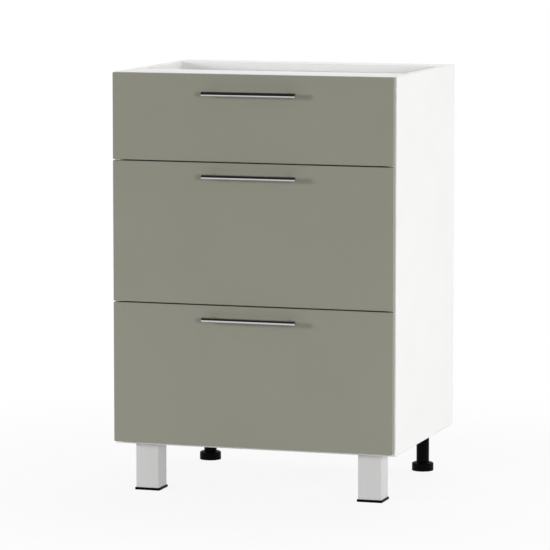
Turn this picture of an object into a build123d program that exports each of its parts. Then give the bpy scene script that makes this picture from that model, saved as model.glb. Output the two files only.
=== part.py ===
from math import floor
import os

from build123d import *

# Kitchen base cabinet with three drawers: a white board carcass on four adjustable legs, drawers
# with steel sides that run on nylon rollers, and painted fronts with bar handles.
# Millimetres. X runs to the right, Y from the fronts to the wall, Z up. The origin is on the
# floor, in the middle of the space that the closed cabinet takes up, handles included.

os.makedirs("parts", exist_ok=True)

# --- Driving sizes ------------------------------------------------------------------------------

# Carcass
carcass_width = 600
carcass_height = 768
carcass_depth = 455  # the back panel included
board = 16
board_edge_radius = 0.5
back_thickness = 3
back_inset = 2  # bare board left around the nailed-on back
front_rail_depth = 120  # the top rails, which lie flat
back_rail_depth = 75

# Fronts
front_thickness = 16
front_standoff = 1  # from the carcass edges to a closed front
front_side_reveal = 2
front_top_reveal = 0.5  # carcass showing above the top front
front_bottom_reveal = 6  # and below the bottom one
front_gap = 2.5
top_front_height = 177.5
front_edge_radius = 1

# Bar handles
bar_diameter = 10
bar_length = 200
post_diameter = 8
post_spacing = 160
handle_projection = 25  # from a front's face to the outside of the bar
top_handle_drop = 39  # from a front's upper edge to the bar's axis
tall_handle_drop = 27

# Steel-sided drawers
sheet = 1.2
low_side_height = 86
tall_side_height = 150
box_lift = 23.5  # from a front's lower edge to the underside of the steel sides
side_flange = 12  # folded flange under the drawer bottom, and the tab behind the front
hem_width = 5
hem_drop = 4
drawer_board = 16
drawer_back_recess = 3  # the drawer back stops this far below the side's hem

# Runners
runner_step = 50  # runners come in lengths of whole steps
runner_rear_room = 20  # least room between a runner and the back panel
runner_overlap = 100  # length of drawer that stays in the carcass when it is pulled out
runner_setback = 2  # from the carcass edge to the front end of a rail
rail_width = 12  # from the carcass side to the tips of a rail's flanges
rail_lift = 4  # from the underside of the steel side to the underside of its rail
glide_thickness = 2.4
glide_width = 10
roller_diameter = 19
roller_width = 8
front_roller_inset = 13
rear_roller_inset = 12
roller_rise = 1.8  # height of a front roller above the top flange of its rail
stop_height = 6

# Legs
leg_height = 100
leg_side_inset = 60.5  # from the carcass side to the middle of a leg
front_leg_inset = 47
rear_leg_inset = 23.5
leg_tube = 50
leg_tube_wall = 2
leg_mount_thickness = 10
front_foot_size = 54
front_foot_thickness = 5
spindle_diameter = 10
shaft_diameter = 27
socket_depth = 22
socket_plate_thickness = 3
rear_foot_diameter = 46
rear_foot_height = 18
rear_spindle_diameter = 16

# Clearances
fit_gap = 0.1  # around a fastener or a piece pushed into its hole
running_gap = 0.05  # radial, between a turning or sliding piece and what it runs on
rolling_gap = 0.3  # between a roller and the flange that it carries or rolls on
slip_gap = 0.5  # between pieces that slide past each other

# --- Places that follow from them ---------------------------------------------------------------

total_depth = handle_projection + front_thickness + front_standoff + carcass_depth
carcass_back_y = total_depth / 2
carcass_front_y = carcass_back_y - carcass_depth
board_back_y = carcass_back_y - back_thickness
front_back_y = carcass_front_y - front_standoff
front_face_y = front_back_y - front_thickness
carcass_top_z = leg_height + carcass_height
inner_x = carcass_width / 2 - board

tiers = ("top", "middle", "bottom")
hands = {"left": -1, "right": 1}
front_width = carcass_width - 2 * front_side_reveal
front_stack = carcass_height - front_top_reveal - front_bottom_reveal
tall_front_height = (front_stack - top_front_height - 2 * front_gap) / 2
front_heights = {"top": top_front_height, "middle": tall_front_height, "bottom": tall_front_height}
bottom_front_z = leg_height + front_bottom_reveal
middle_front_z = bottom_front_z + tall_front_height + front_gap
top_front_z = middle_front_z + tall_front_height + front_gap
front_z = {"top": top_front_z, "middle": middle_front_z, "bottom": bottom_front_z}
handle_drops = {"top": top_handle_drop, "middle": tall_handle_drop, "bottom": tall_handle_drop}
side_heights = {"top": low_side_height, "middle": tall_side_height, "bottom": tall_side_height}
bar_y = front_face_y - handle_projection + bar_diameter / 2

runner_room = carcass_depth - back_thickness - runner_rear_room
runner_length = runner_step * floor(runner_room / runner_step)
travel = runner_length - runner_overlap
rail_front_y = carcass_front_y + runner_setback
drawer_rear_y = front_back_y + runner_length
wall_x = inner_x - rail_width - slip_gap  # outer face of a steel side
wall_inner_x = wall_x - sheet

# Heights above the underside of a drawer's steel sides
roller_radius = roller_diameter / 2
channel_floor = rail_lift + sheet
rear_roller_lift = channel_floor + rolling_gap + roller_radius
channel_ceiling = rear_roller_lift + roller_radius + slip_gap
rail_top = channel_ceiling + sheet
front_roller_lift = rail_top + roller_rise - roller_radius
glide_lift = rail_top + roller_rise + rolling_gap
rail_middle = (channel_floor + channel_ceiling) / 2
board_top = sheet + drawer_board

front_roller_y = rail_front_y + front_roller_inset
rear_roller_y = drawer_rear_y - rear_roller_inset
stop_y = rear_roller_y - travel - roller_radius - slip_gap

leg_x = carcass_width / 2 - leg_side_inset
front_leg_y = carcass_front_y + front_leg_inset
rear_leg_y = carcass_back_y - rear_leg_inset


def box_z(tier):
    """Height of the underside of a drawer's steel sides."""
    return front_z[tier] + box_lift


def facing(direction, points):
    """Places on surfaces whose outward normal is the given direction."""
    return [Location(Plane(origin=point, z_dir=direction)) for point in points]


def block(low, high):
    """A box between two opposite corners, in the part being built."""
    middle = tuple((a + b) / 2 for a, b in zip(low, high))
    with Locations(middle):
        Box(*[b - a for a, b in zip(low, high)])


def drill(spots, diameter, depth):
    """Round holes to the same depth on both sides of their spots, in the part being built."""
    with Locations(*spots):
        Hole(radius=diameter / 2, depth=depth)


# --- Fasteners and fittings, each made once at the origin, head or open end up --------------------

# Size of a screw: thread diameter, length under the head, head diameter, head height
rail_screw_size = (3.5, 13, 8, 1.2)
board_screw_size = (3.5, 14, 7, 2.2)
handle_screw_size = (4, 24, 8, 2.4)
leg_screw_size = (4, 14, 7.5, 2.2)
grub_screw_size = (5, 8, 0, 0)
recess_width = 1
recess_depth = 0.9


def make_screw(size):
    """A pan-head screw with a cross recess, or a headless one where the head has no size."""
    thread, length, head, head_height = size
    tip = thread / 2
    with BuildPart() as screw:
        with BuildSketch(Plane.XZ):
            with BuildLine():
                outline = [(0, -length), (thread / 2, -length + tip), (thread / 2, 0)]
                if head:
                    outline += [(head / 2, 0), (head / 2, head_height / 2), (head / 4, head_height)]
                outline += [(0, head_height)]
                Polyline(*outline, close=True)
            make_face()
        revolve(axis=Axis.Z)
        with BuildSketch(Plane.XY.offset(head_height)):
            Rectangle((head or thread) / 2, recess_width)
            if head:
                Rectangle(recess_width, head / 2)
        extrude(amount=-recess_depth, mode=Mode.SUBTRACT)
    return screw.part


# Nails that hold the back panel, driven flush with it
nail_diameter = 1.6
nail_length = 18
nail_head = 4
nail_head_height = 0.8

with BuildPart() as nail:
    Cylinder(nail_diameter / 2, nail_length, align=(Align.CENTER, Align.CENTER, Align.MAX))
    Cylinder(nail_head / 2, nail_head_height, align=(Align.CENTER, Align.CENTER, Align.MAX))

# Cam lock: the cam sits in the underside of a board, and its bolt stands in the side panel
cam_diameter = 15
cam_height = 12.5
cam_setback = 24  # from the end of the board to the middle of the cam
cam_slot = 8
bolt_head = 7
bolt_neck = 4
bolt_shank = 6
bolt_thread = 5
bolt_bite = 11  # depth of the thread in the side panel
bolt_head_length = 3
bolt_neck_length = 3

with BuildPart() as cam:
    Cylinder(
        cam_diameter / 2 - fit_gap, cam_height, align=(Align.CENTER, Align.CENTER, Align.MAX)
    )
    with BuildSketch():
        Rectangle(cam_slot, recess_width)
        Rectangle(recess_width, cam_slot)
    extrude(amount=-2 * recess_depth, mode=Mode.SUBTRACT)
    # Pocket for the bolt, open towards +X
    pocket_reach = cam_diameter / 2 + bolt_head_length
    with Locations((cam_diameter / 2, 0, -board / 2)):
        Cylinder(
            bolt_head / 2 + fit_gap,
            pocket_reach,
            rotation=(0, 90, 0),
            align=(Align.CENTER, Align.CENTER, Align.MAX),
            mode=Mode.SUBTRACT,
        )

with BuildPart() as cam_bolt:
    # Stands along Z with the side panel's face at the origin and its head up in the cam
    with BuildSketch(Plane.XZ):
        with BuildLine():
            head_top = cam_setback + bolt_head_length / 2
            head_base = head_top - bolt_head_length
            neck_base = head_base - bolt_neck_length
            Polyline(
                (0, -bolt_bite),
                (bolt_thread / 2, -bolt_bite),
                (bolt_thread / 2, 0),
                (bolt_shank / 2, 0),
                (bolt_shank / 2, neck_base),
                (bolt_neck / 2, neck_base),
                (bolt_neck / 2, head_base),
                (bolt_head / 2, head_base),
                (bolt_head / 2, head_top),
                (0, head_top),
                close=True,
            )
        make_face()
    revolve(axis=Axis.Z)

# Dowels beside the cams
dowel_diameter = 8
dowel_length = 30
dowel_bite = 10  # depth in the side panel
dowel_chamfer = 1

with BuildPart() as dowel:
    with Locations((0, 0, -dowel_bite)):
        Cylinder(
            dowel_diameter / 2, dowel_length, align=(Align.CENTER, Align.CENTER, Align.MIN)
        )
    chamfer(dowel.edges().filter_by(GeomType.CIRCLE), dowel_chamfer)

# Roller and the pin that it turns on. The pin stands on the sheet that it is riveted in, with the
# sheet's far face at the origin
pin_diameter = 5
pin_tail = 4
pin_shoulder = 8
pin_shoulder_height = 1.2
pin_head = 7.4
pin_head_height = 1.2
head_recess = 1.5
roller_base = sheet + pin_shoulder_height + fit_gap
roller_edge_radius = 0.6

with BuildPart() as roller:
    with Locations((0, 0, roller_base)):
        Cylinder(roller_radius, roller_width, align=(Align.CENTER, Align.CENTER, Align.MIN))
    fillet(roller.edges().filter_by(GeomType.CIRCLE), roller_edge_radius)
    with Locations((0, 0, roller_base + roller_width)):
        CounterBoreHole(
            radius=pin_diameter / 2 + running_gap,
            counter_bore_radius=pin_head / 2 + fit_gap,
            counter_bore_depth=head_recess,
        )

with BuildPart() as roller_pin:
    with BuildSketch(Plane.XZ):
        with BuildLine():
            shoulder_top = sheet + pin_shoulder_height
            head_top = roller_base + roller_width
            head_base = head_top - pin_head_height
            Polyline(
                (0, 0),
                (pin_tail / 2, 0),
                (pin_tail / 2, sheet),
                (pin_shoulder / 2, sheet),
                (pin_shoulder / 2, shoulder_top),
                (pin_diameter / 2, shoulder_top),
                (pin_diameter / 2, head_base),
                (pin_head / 2, head_base),
                (pin_head / 2, head_top),
                (0, head_top),
                close=True,
            )
        make_face()
    revolve(axis=Axis.Z)

# --- Where the fasteners go ---------------------------------------------------------------------

bottom_cam_inset = 100  # from the bottom's front or back edge to its cam
bottom_dowel_offset = 32  # from a cam in the bottom to the dowel beside it
rail_dowel_offset = 20  # from a cam in a top rail to the dowels on either side
front_rail_y = carcass_front_y + front_rail_depth / 2
back_rail_y = board_back_y - back_rail_depth / 2
bottom_cam_ys = (carcass_front_y + bottom_cam_inset, board_back_y - bottom_cam_inset)
bottom_dowel_ys = (
    bottom_cam_ys[0] - bottom_dowel_offset,
    bottom_cam_ys[1] + bottom_dowel_offset,
)
rail_cam_ys = (front_rail_y, back_rail_y)
rail_dowel_ys = [
    y + offset for y in rail_cam_ys for offset in (-rail_dowel_offset, rail_dowel_offset)
]
bottom_middle_z = leg_height + board / 2
top_middle_z = carcass_top_z - board / 2
# Side-panel joints: Y and height of each cam bolt and each dowel
bolt_places = [(y, bottom_middle_z) for y in bottom_cam_ys]
bolt_places += [(y, top_middle_z) for y in rail_cam_ys]
dowel_places = [(y, bottom_middle_z) for y in bottom_dowel_ys]
dowel_places += [(y, top_middle_z) for y in rail_dowel_ys]


def on_inner_face(side, places):
    """Spots on the inner face of one side panel, facing into the carcass."""
    return facing((-side, 0, 0), [(side * inner_x, y, z) for y, z in places])


def cam_spots(side):
    """Cams of one hand, in the undersides of the boards, with their pockets towards the side."""
    middle_x = side * (inner_x - cam_setback)
    spots = []
    for y, z in bolt_places:
        under = Plane(origin=(middle_x, y, z - board / 2), x_dir=(side, 0, 0), z_dir=(0, 0, -1))
        spots.append(Location(under))
    return spots


rail_screw_start = 24  # from the front roller to the first screw
rail_screw_end_inset = 32


def rail_screw_places(tier):
    """Y and height of the three screws of one cabinet rail."""
    first_y = front_roller_y + rail_screw_start
    last_y = rail_front_y + runner_length - rail_screw_end_inset
    z = box_z(tier) + rail_middle
    return [(y, z) for y in (first_y, (first_y + last_y) / 2, last_y)]


# Nails around the back panel: up both sides, and along the bottom and the back rail
nail_rows = 5
nail_columns = 3
nail_corner_inset = 60
side_nail_x = carcass_width / 2 - board / 2
nail_bottom_z = leg_height + nail_corner_inset
nail_top_z = carcass_top_z - nail_corner_inset
nail_row_step = (nail_top_z - nail_bottom_z) / (nail_rows - 1)
nail_column_step = 2 * (inner_x - nail_corner_inset) / (nail_columns - 1)
nail_points = []
for row in range(nail_rows):
    for side in hands.values():
        height = nail_bottom_z + row * nail_row_step
        nail_points.append((side * side_nail_x, carcass_back_y, height))
for column in range(nail_columns):
    for height in (bottom_middle_z, top_middle_z):
        across = -inner_x + nail_corner_inset + column * nail_column_step
        nail_points.append((across, carcass_back_y, height))
nail_spots = facing((0, 1, 0), nail_points)

# Holes for the screws that hold a worktop down
worktop_hole = 5
worktop_hole_spacing = 400
worktop_spots = facing(
    (0, 0, 1),
    [
        (across * worktop_hole_spacing / 2, y, carcass_top_z)
        for across in (-1, 1)
        for y in (front_rail_y, back_rail_y)
    ],
)

# Screws up through the leg mounts and sockets into the bottom panel
mount_screw_pitch = 28
socket_screw_pitch = 44
socket_screw_rows = (-32, 12)  # in front of the middle of the leg, and behind it
socket_plate_width = 60
socket_plate_front = 42
socket_plate_back = 18
mount_screw_points = []
socket_screw_points = []
for side in hands.values():
    for across in (-1, 1):
        for along in (-1, 1):
            x = side * leg_x + across * mount_screw_pitch / 2
            y = front_leg_y + along * mount_screw_pitch / 2
            mount_screw_points.append((x, y, leg_height - leg_mount_thickness))
        for row in socket_screw_rows:
            x = side * leg_x + across * socket_screw_pitch / 2
            plate_under_z = leg_height - socket_plate_thickness
            socket_screw_points.append((x, rear_leg_y + row, plate_under_z))
mount_screw_sink = 6  # the heads lie this deep in the mount
mount_spots = facing((0, 0, -1), mount_screw_points)
sunk_points = [(x, y, z + mount_screw_sink) for x, y, z in mount_screw_points]
socket_spots = facing((0, 0, -1), socket_screw_points)
leg_screw_spots = facing((0, 0, -1), sunk_points) + socket_spots
leg_screw_hole = leg_screw_size[0] + 2 * fit_gap
leg_screw_reach = leg_screw_size[1] + 2 * fit_gap

# --- Carcass -------------------------------------------------------------------------------------

for hand, side in hands.items():
    with BuildPart() as side_panel:
        inner, outer = side * inner_x, side * carcass_width / 2
        block(
            (min(inner, outer), carcass_front_y, leg_height),
            (max(inner, outer), board_back_y, carcass_top_z),
        )
        fillet(side_panel.edges(), board_edge_radius)
        drill(on_inner_face(side, bolt_places), bolt_thread + fit_gap, bolt_bite + fit_gap)
        drill(on_inner_face(side, dowel_places), dowel_diameter + fit_gap, dowel_bite + slip_gap)
        for tier in tiers:
            screw_hole, screw_reach = rail_screw_size[0] + fit_gap, rail_screw_size[1]
            drill(on_inner_face(side, rail_screw_places(tier)), screw_hole, screw_reach)
        drill(nail_spots, nail_diameter + fit_gap, nail_length + fit_gap)
    side_panel.part.label = f"side_panel_{hand}"
    export_step(side_panel.part, f"parts/{side_panel.part.label}.step")


def cross_board(name, front_y, back_y, under_z, under_holes=()):
    """A board between the side panels, with its cam pockets, bolt bores and dowel holes."""
    with BuildPart() as cross:
        block((-inner_x, front_y, under_z), (inner_x, back_y, under_z + board))
        long_edges = cross.edges().filter_by(Axis.X)
        fillet(long_edges, board_edge_radius)
        drill(nail_spots, nail_diameter + fit_gap, nail_length + fit_gap)
        for side in hands.values():
            drill(cam_spots(side), cam_diameter, cam_height + fit_gap)
            into_ends = facing((side, 0, 0), [(side * inner_x, y, z) for y, z in bolt_places])
            drill(into_ends, bolt_head + 2 * fit_gap, cam_setback + bolt_head_length / 2 + fit_gap)
            into_ends = facing((side, 0, 0), [(side * inner_x, y, z) for y, z in dowel_places])
            drill(into_ends, dowel_diameter + fit_gap, dowel_length - dowel_bite + slip_gap)
        for spots, diameter, depth in under_holes:
            drill(spots, diameter, depth)
    cross.part.label = name
    export_step(cross.part, f"parts/{name}.step")


top_rail_z = carcass_top_z - board
worktop_holes = [(worktop_spots, worktop_hole, board)]
leg_holes = [(leg_screw_spots, leg_screw_hole, leg_screw_reach)]
front_rail_back_y = carcass_front_y + front_rail_depth
back_rail_front_y = board_back_y - back_rail_depth
cross_board("bottom_panel", carcass_front_y, board_back_y, leg_height, leg_holes)
cross_board("top_rail_front", carcass_front_y, front_rail_back_y, top_rail_z, worktop_holes)
cross_board("top_rail_back", back_rail_front_y, board_back_y, top_rail_z, worktop_holes)

with BuildPart() as back_panel:
    panel_x = carcass_width / 2 - back_inset
    block(
        (-panel_x, board_back_y, leg_height + back_inset),
        (panel_x, carcass_back_y, carcass_top_z - back_inset),
    )
    drill(nail_spots, nail_head + fit_gap, nail_head_height)
    drill(nail_spots, nail_diameter + fit_gap, back_thickness)
back_panel.part.label = "back_panel"
export_step(back_panel.part, "parts/back_panel.step")

with BuildPart() as back_panel_nails:
    with Locations(*nail_spots):
        add(nail.part)
back_panel_nails.part.label = "back_panel_nails"
export_step(back_panel_nails.part, "parts/back_panel_nails.step")

with BuildPart() as cam_locks:
    with Locations(*cam_spots(-1), *cam_spots(1)):
        add(cam.part)
cam_locks.part.label = "cam_locks"
export_step(cam_locks.part, "parts/cam_locks.step")

with BuildPart() as cam_bolts:
    with Locations(*on_inner_face(-1, bolt_places), *on_inner_face(1, bolt_places)):
        add(cam_bolt.part)
cam_bolts.part.label = "cam_bolts"
export_step(cam_bolts.part, "parts/cam_bolts.step")

with BuildPart() as dowels:
    with Locations(*on_inner_face(-1, dowel_places), *on_inner_face(1, dowel_places)):
        add(dowel.part)
dowels.part.label = "dowels"
export_step(dowels.part, "parts/dowels.step")

# --- Cabinet rails: steel channels screwed to the sides, each with a roller at its front end ------

bend_radius = 1.2
cutout_clearance = 2
roller_cutout = front_roller_inset + roller_radius + cutout_clearance
stop_side_gap = 1

for tier in tiers:
    base = box_z(tier)
    for hand, side in hands.items():
        with BuildPart() as rail:
            # The middle of the sheet: up the carcass side, with a flange folded in at each end
            web_x = side * (inner_x - sheet / 2)
            web_face_x = side * (inner_x - sheet)
            tip_x = side * (inner_x - rail_width)
            low_z = base + rail_lift + sheet / 2
            high_z = base + rail_top - sheet / 2
            fold = [(tip_x, low_z), (web_x, low_z), (web_x, high_z), (tip_x, high_z)]
            with BuildSketch(Plane.XZ.offset(-rail_front_y)):
                with BuildLine():
                    FilletPolyline(*fold, radius=bend_radius)
                trace(line_width=sheet)
            extrude(amount=-runner_length)
            # Top flange cut away around the roller
            with BuildSketch(Plane.XY.offset(base + channel_ceiling - sheet)):
                with Locations((tip_x, rail_front_y)):
                    Rectangle(2 * (rail_width - sheet), 2 * roller_cutout)
            extrude(amount=3 * sheet, mode=Mode.SUBTRACT)
            # Stop for the drawer's roller, bent up from the lower flange
            stop_x = sorted((tip_x + side * stop_side_gap, web_face_x - side * stop_side_gap))
            block(
                (stop_x[0], stop_y - sheet, base + channel_floor - sheet / 2),
                (stop_x[1], stop_y, base + channel_floor + stop_height),
            )
            roller_place = [(front_roller_y, base + front_roller_lift)]
            drill(on_inner_face(side, roller_place), pin_tail + fit_gap, sheet + fit_gap)
            screw_hole = rail_screw_size[0] + 2 * fit_gap
            drill(on_inner_face(side, rail_screw_places(tier)), screw_hole, sheet + fit_gap)
        rail.part.label = f"runner_rail_{hand}_{tier}"
        export_step(rail.part, f"parts/{rail.part.label}.step")


def roller_spots(tier, sheet_face_x, direction, y, lift):
    """Where the pins of a left and a right roller start, on the far faces of their sheets."""
    spots = []
    for side in hands.values():
        start = (side * sheet_face_x, y, box_z(tier) + lift)
        spots += facing((side * direction, 0, 0), [start])
    return spots


def front_roller_spots(tier):
    """Pins of the rollers on the cabinet rails, pointing into the carcass."""
    return roller_spots(tier, inner_x, -1, front_roller_y, front_roller_lift)


def rear_roller_spots(tier):
    """Pins of the rollers on the drawer's steel sides, pointing out into the rails."""
    return roller_spots(tier, wall_inner_x, 1, rear_roller_y, rear_roller_lift)


for tier in tiers:
    for end, spots in (("front", front_roller_spots(tier)), ("rear", rear_roller_spots(tier))):
        with BuildPart() as rollers:
            with Locations(*spots):
                add(roller.part)
        rollers.part.label = f"{end}_rollers_{tier}"
        export_step(rollers.part, f"parts/{rollers.part.label}.step")

with BuildPart() as roller_pins:
    for tier in tiers:
        with Locations(*front_roller_spots(tier)):
            add(roller_pin.part)
roller_pins.part.label = "roller_pins"
export_step(roller_pins.part, "parts/roller_pins.step")

rail_screw = make_screw(rail_screw_size)
with BuildPart() as runner_screws:
    for tier in tiers:
        for side in hands.values():
            web_face_x = side * (inner_x - sheet)
            heads = [(web_face_x, y, z) for y, z in rail_screw_places(tier)]
            with Locations(*facing((-side, 0, 0), heads)):
                add(rail_screw)
runner_screws.part.label = "runner_screws"
export_step(runner_screws.part, "parts/runner_screws.step")

# --- Drawers -------------------------------------------------------------------------------------

tab_recess = 2  # the front tab stops this far below the hem
board_screw = make_screw(board_screw_size)
handle_screw = make_screw(handle_screw_size)
screw_end_inset = 60  # from the ends of the drawer bottom to its outer screws
back_screw_lifts = {"top": (44, 68), "middle": (50, 110), "bottom": (50, 110)}
tab_screw_lifts = {"top": (34, 70), "middle": (40, 125), "bottom": (40, 125)}
screw_pilot = board_screw_size[0] + fit_gap
screw_reach = board_screw_size[1] + fit_gap
handle_hole = handle_screw_size[0] + 4 * fit_gap
flange_middle_x = wall_inner_x - side_flange / 2


def under_spots(tier, side):
    """Screws up through one bottom flange into the drawer bottom."""
    first_y = front_back_y + screw_end_inset
    last_y = drawer_rear_y - screw_end_inset
    along = (first_y, (first_y + last_y) / 2, last_y)
    return facing((0, 0, -1), [(side * flange_middle_x, y, box_z(tier)) for y in along])


def back_spots(tier, side):
    """Screws through one steel side into the end of the drawer back."""
    y = drawer_rear_y - drawer_board / 2
    lifts = back_screw_lifts[tier]
    return facing((side, 0, 0), [(side * wall_x, y, box_z(tier) + lift) for lift in lifts])


def tab_spots(tier, side):
    """Screws through one front tab into the back of the front."""
    y = front_back_y + sheet
    lifts = tab_screw_lifts[tier]
    return facing((0, 1, 0), [(side * flange_middle_x, y, box_z(tier) + lift) for lift in lifts])


def handle_z(tier):
    """Height of a handle's axis."""
    return front_z[tier] + front_heights[tier] - handle_drops[tier]


def handle_spots(tier):
    """Screws through a front into the posts of its handle."""
    places = [(across * post_spacing / 2, front_back_y, handle_z(tier)) for across in (-1, 1)]
    return facing((0, 1, 0), places)


for tier in tiers:
    base = box_z(tier)
    side_height = side_heights[tier]
    for hand, side in hands.items():
        with BuildPart() as steel_side:
            # The middle of the sheet: flange under the bottom, wall, hem rolled out at the top
            middle_x = side * (wall_x - sheet / 2)
            hem_x = middle_x + side * hem_width
            flange_tip_x = side * (wall_inner_x - side_flange)
            flange_z = base + sheet / 2
            hem_z = base + side_height - sheet / 2
            fold = [(flange_tip_x, flange_z), (middle_x, flange_z), (middle_x, hem_z)]
            fold += [(hem_x, hem_z), (hem_x, hem_z - hem_drop)]
            with BuildSketch(Plane.XZ.offset(-front_back_y)):
                with BuildLine():
                    FilletPolyline(*fold, radius=bend_radius)
                trace(line_width=sheet)
            extrude(amount=-runner_length)
            # Glide that the front roller carries
            glide_x = sorted((middle_x, side * (wall_x + glide_width)))
            block(
                (glide_x[0], front_back_y, base + glide_lift),
                (glide_x[1], drawer_rear_y, base + glide_lift + glide_thickness),
            )
            # Tab folded in behind the front
            tab_x = sorted((flange_tip_x, middle_x))
            block(
                (tab_x[0], front_back_y, base + board_top + slip_gap),
                (tab_x[1], front_back_y + sheet, base + side_height - sheet - tab_recess),
            )
            hole = board_screw_size[0] + 2 * fit_gap
            drill(under_spots(tier, side), hole, sheet + fit_gap)
            drill(back_spots(tier, side), hole, sheet + fit_gap)
            drill(tab_spots(tier, side), hole, sheet + fit_gap)
            pin_start = (side * wall_inner_x, rear_roller_y, base + rear_roller_lift)
            drill(facing((side, 0, 0), [pin_start]), pin_tail + fit_gap, sheet + fit_gap)
        steel_side.part.label = f"drawer_side_{hand}_{tier}"
        export_step(steel_side.part, f"parts/{steel_side.part.label}.step")

    board_x = wall_inner_x - fit_gap
    with BuildPart() as drawer_bottom:
        block(
            (-board_x, front_back_y, base + sheet),
            (board_x, drawer_rear_y, base + board_top),
        )
        fillet(drawer_bottom.edges().filter_by(Axis.Y), bend_radius)
        for side in hands.values():
            drill(under_spots(tier, side), screw_pilot, screw_reach)
    drawer_bottom.part.label = f"drawer_bottom_{tier}"
    export_step(drawer_bottom.part, f"parts/{drawer_bottom.part.label}.step")

    with BuildPart() as drawer_back:
        block(
            (-board_x, drawer_rear_y - drawer_board, base + board_top),
            (board_x, drawer_rear_y, base + side_height - drawer_back_recess),
        )
        fillet(drawer_back.edges().filter_by(Axis.X), board_edge_radius)
        for side in hands.values():
            drill(back_spots(tier, side), screw_pilot, screw_reach)
    drawer_back.part.label = f"drawer_back_{tier}"
    export_step(drawer_back.part, f"parts/{drawer_back.part.label}.step")

    with BuildPart() as front:
        block(
            (-front_width / 2, front_face_y, front_z[tier]),
            (front_width / 2, front_back_y, front_z[tier] + front_heights[tier]),
        )
        fillet(front.edges(), front_edge_radius)
        for side in hands.values():
            drill(tab_spots(tier, side), screw_pilot, screw_reach)
        drill(handle_spots(tier), handle_hole, front_thickness)
    front.part.label = f"drawer_front_{tier}"
    export_step(front.part, f"parts/{front.part.label}.step")

    # The rear roller pins are riveted to the drawer's sides, so they move with its screws
    with BuildPart() as fasteners:
        for side in hands.values():
            spots = under_spots(tier, side) + back_spots(tier, side) + tab_spots(tier, side)
            with Locations(*spots):
                add(board_screw)
        with Locations(*handle_spots(tier)):
            add(handle_screw)
        with Locations(*rear_roller_spots(tier)):
            add(roller_pin.part)
    fasteners.part.label = f"drawer_fasteners_{tier}"
    export_step(fasteners.part, f"parts/{fasteners.part.label}.step")

# --- Bar handles ---------------------------------------------------------------------------------

bar_end_chamfer = 0.6
thread_runout = 1
post_thread_depth = handle_screw_size[1] - front_thickness + thread_runout

for tier in tiers:
    axis_z = handle_z(tier)
    with BuildPart() as bar:
        with BuildSketch(Plane.YZ.offset(-bar_length / 2)):
            with Locations((bar_y, axis_z)):
                Circle(bar_diameter / 2)
        extrude(amount=bar_length)
        chamfer(bar.edges().filter_by(GeomType.CIRCLE), bar_end_chamfer)
    bar.part.label = f"handle_bar_{tier}"
    export_step(bar.part, f"parts/{bar.part.label}.step")

    with BuildPart() as posts:
        with BuildSketch(Plane.XZ.offset(-front_face_y)):
            with Locations((-post_spacing / 2, axis_z), (post_spacing / 2, axis_z)):
                Circle(post_diameter / 2)
        extrude(amount=front_face_y - bar_y)
        # Ends shaped to sit on the bar
        with BuildSketch(Plane.YZ.offset(-bar_length / 2)):
            with Locations((bar_y, axis_z)):
                Circle(bar_diameter / 2)
        extrude(amount=bar_length, mode=Mode.SUBTRACT)
        thread_mouths = [
            (across * post_spacing / 2, front_face_y, axis_z) for across in (-1, 1)
        ]
        thread_hole = handle_screw_size[0] + fit_gap
        drill(facing((0, 1, 0), thread_mouths), thread_hole, post_thread_depth)
    posts.part.label = f"handle_posts_{tier}"
    export_step(posts.part, f"parts/{posts.part.label}.step")

# --- Front legs: square tubes on screwed mounts, each with a screw foot ---------------------------

tube_corner_radius = 2.5
mount_gap = 0.2
mount_corner_radius = 1
mount_head_room = 1
mount_head_pocket = leg_screw_size[2] + mount_head_room
tube_plug_thickness = 4
tube_boss_diameter = 22
tube_boss_height = 15
foot_corner_radius = 2
foot_edge_chamfer = 0.8
spindle_length = 34
grub_drop = 5  # from the carcass to the axis of the set screw

tube_height = leg_height - front_foot_thickness
tube_bore = leg_tube - 2 * leg_tube_wall
mount_size = tube_bore - 2 * mount_gap
grub_y = front_leg_y + leg_tube / 2
grub_hole = grub_screw_size[0] + fit_gap
grub_reach = grub_screw_size[1] + fit_gap

leg_centres = [(side * leg_x, front_leg_y) for side in hands.values()]
grub_points = [(x, grub_y, leg_height - grub_drop) for x, y in leg_centres]
grub_spots = facing((0, 1, 0), grub_points)

with BuildPart() as mounts:
    with BuildSketch(Plane.XY.offset(leg_height - leg_mount_thickness)):
        with Locations(*leg_centres):
            RectangleRounded(mount_size, mount_size, mount_corner_radius)
    extrude(amount=leg_mount_thickness)
    drill(mount_spots, mount_head_pocket, mount_screw_sink)
    drill(mount_spots, leg_screw_hole, leg_mount_thickness)
    drill(grub_spots, grub_hole, grub_reach)
mounts.part.label = "front_leg_mounts"
export_step(mounts.part, "parts/front_leg_mounts.step")

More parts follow.
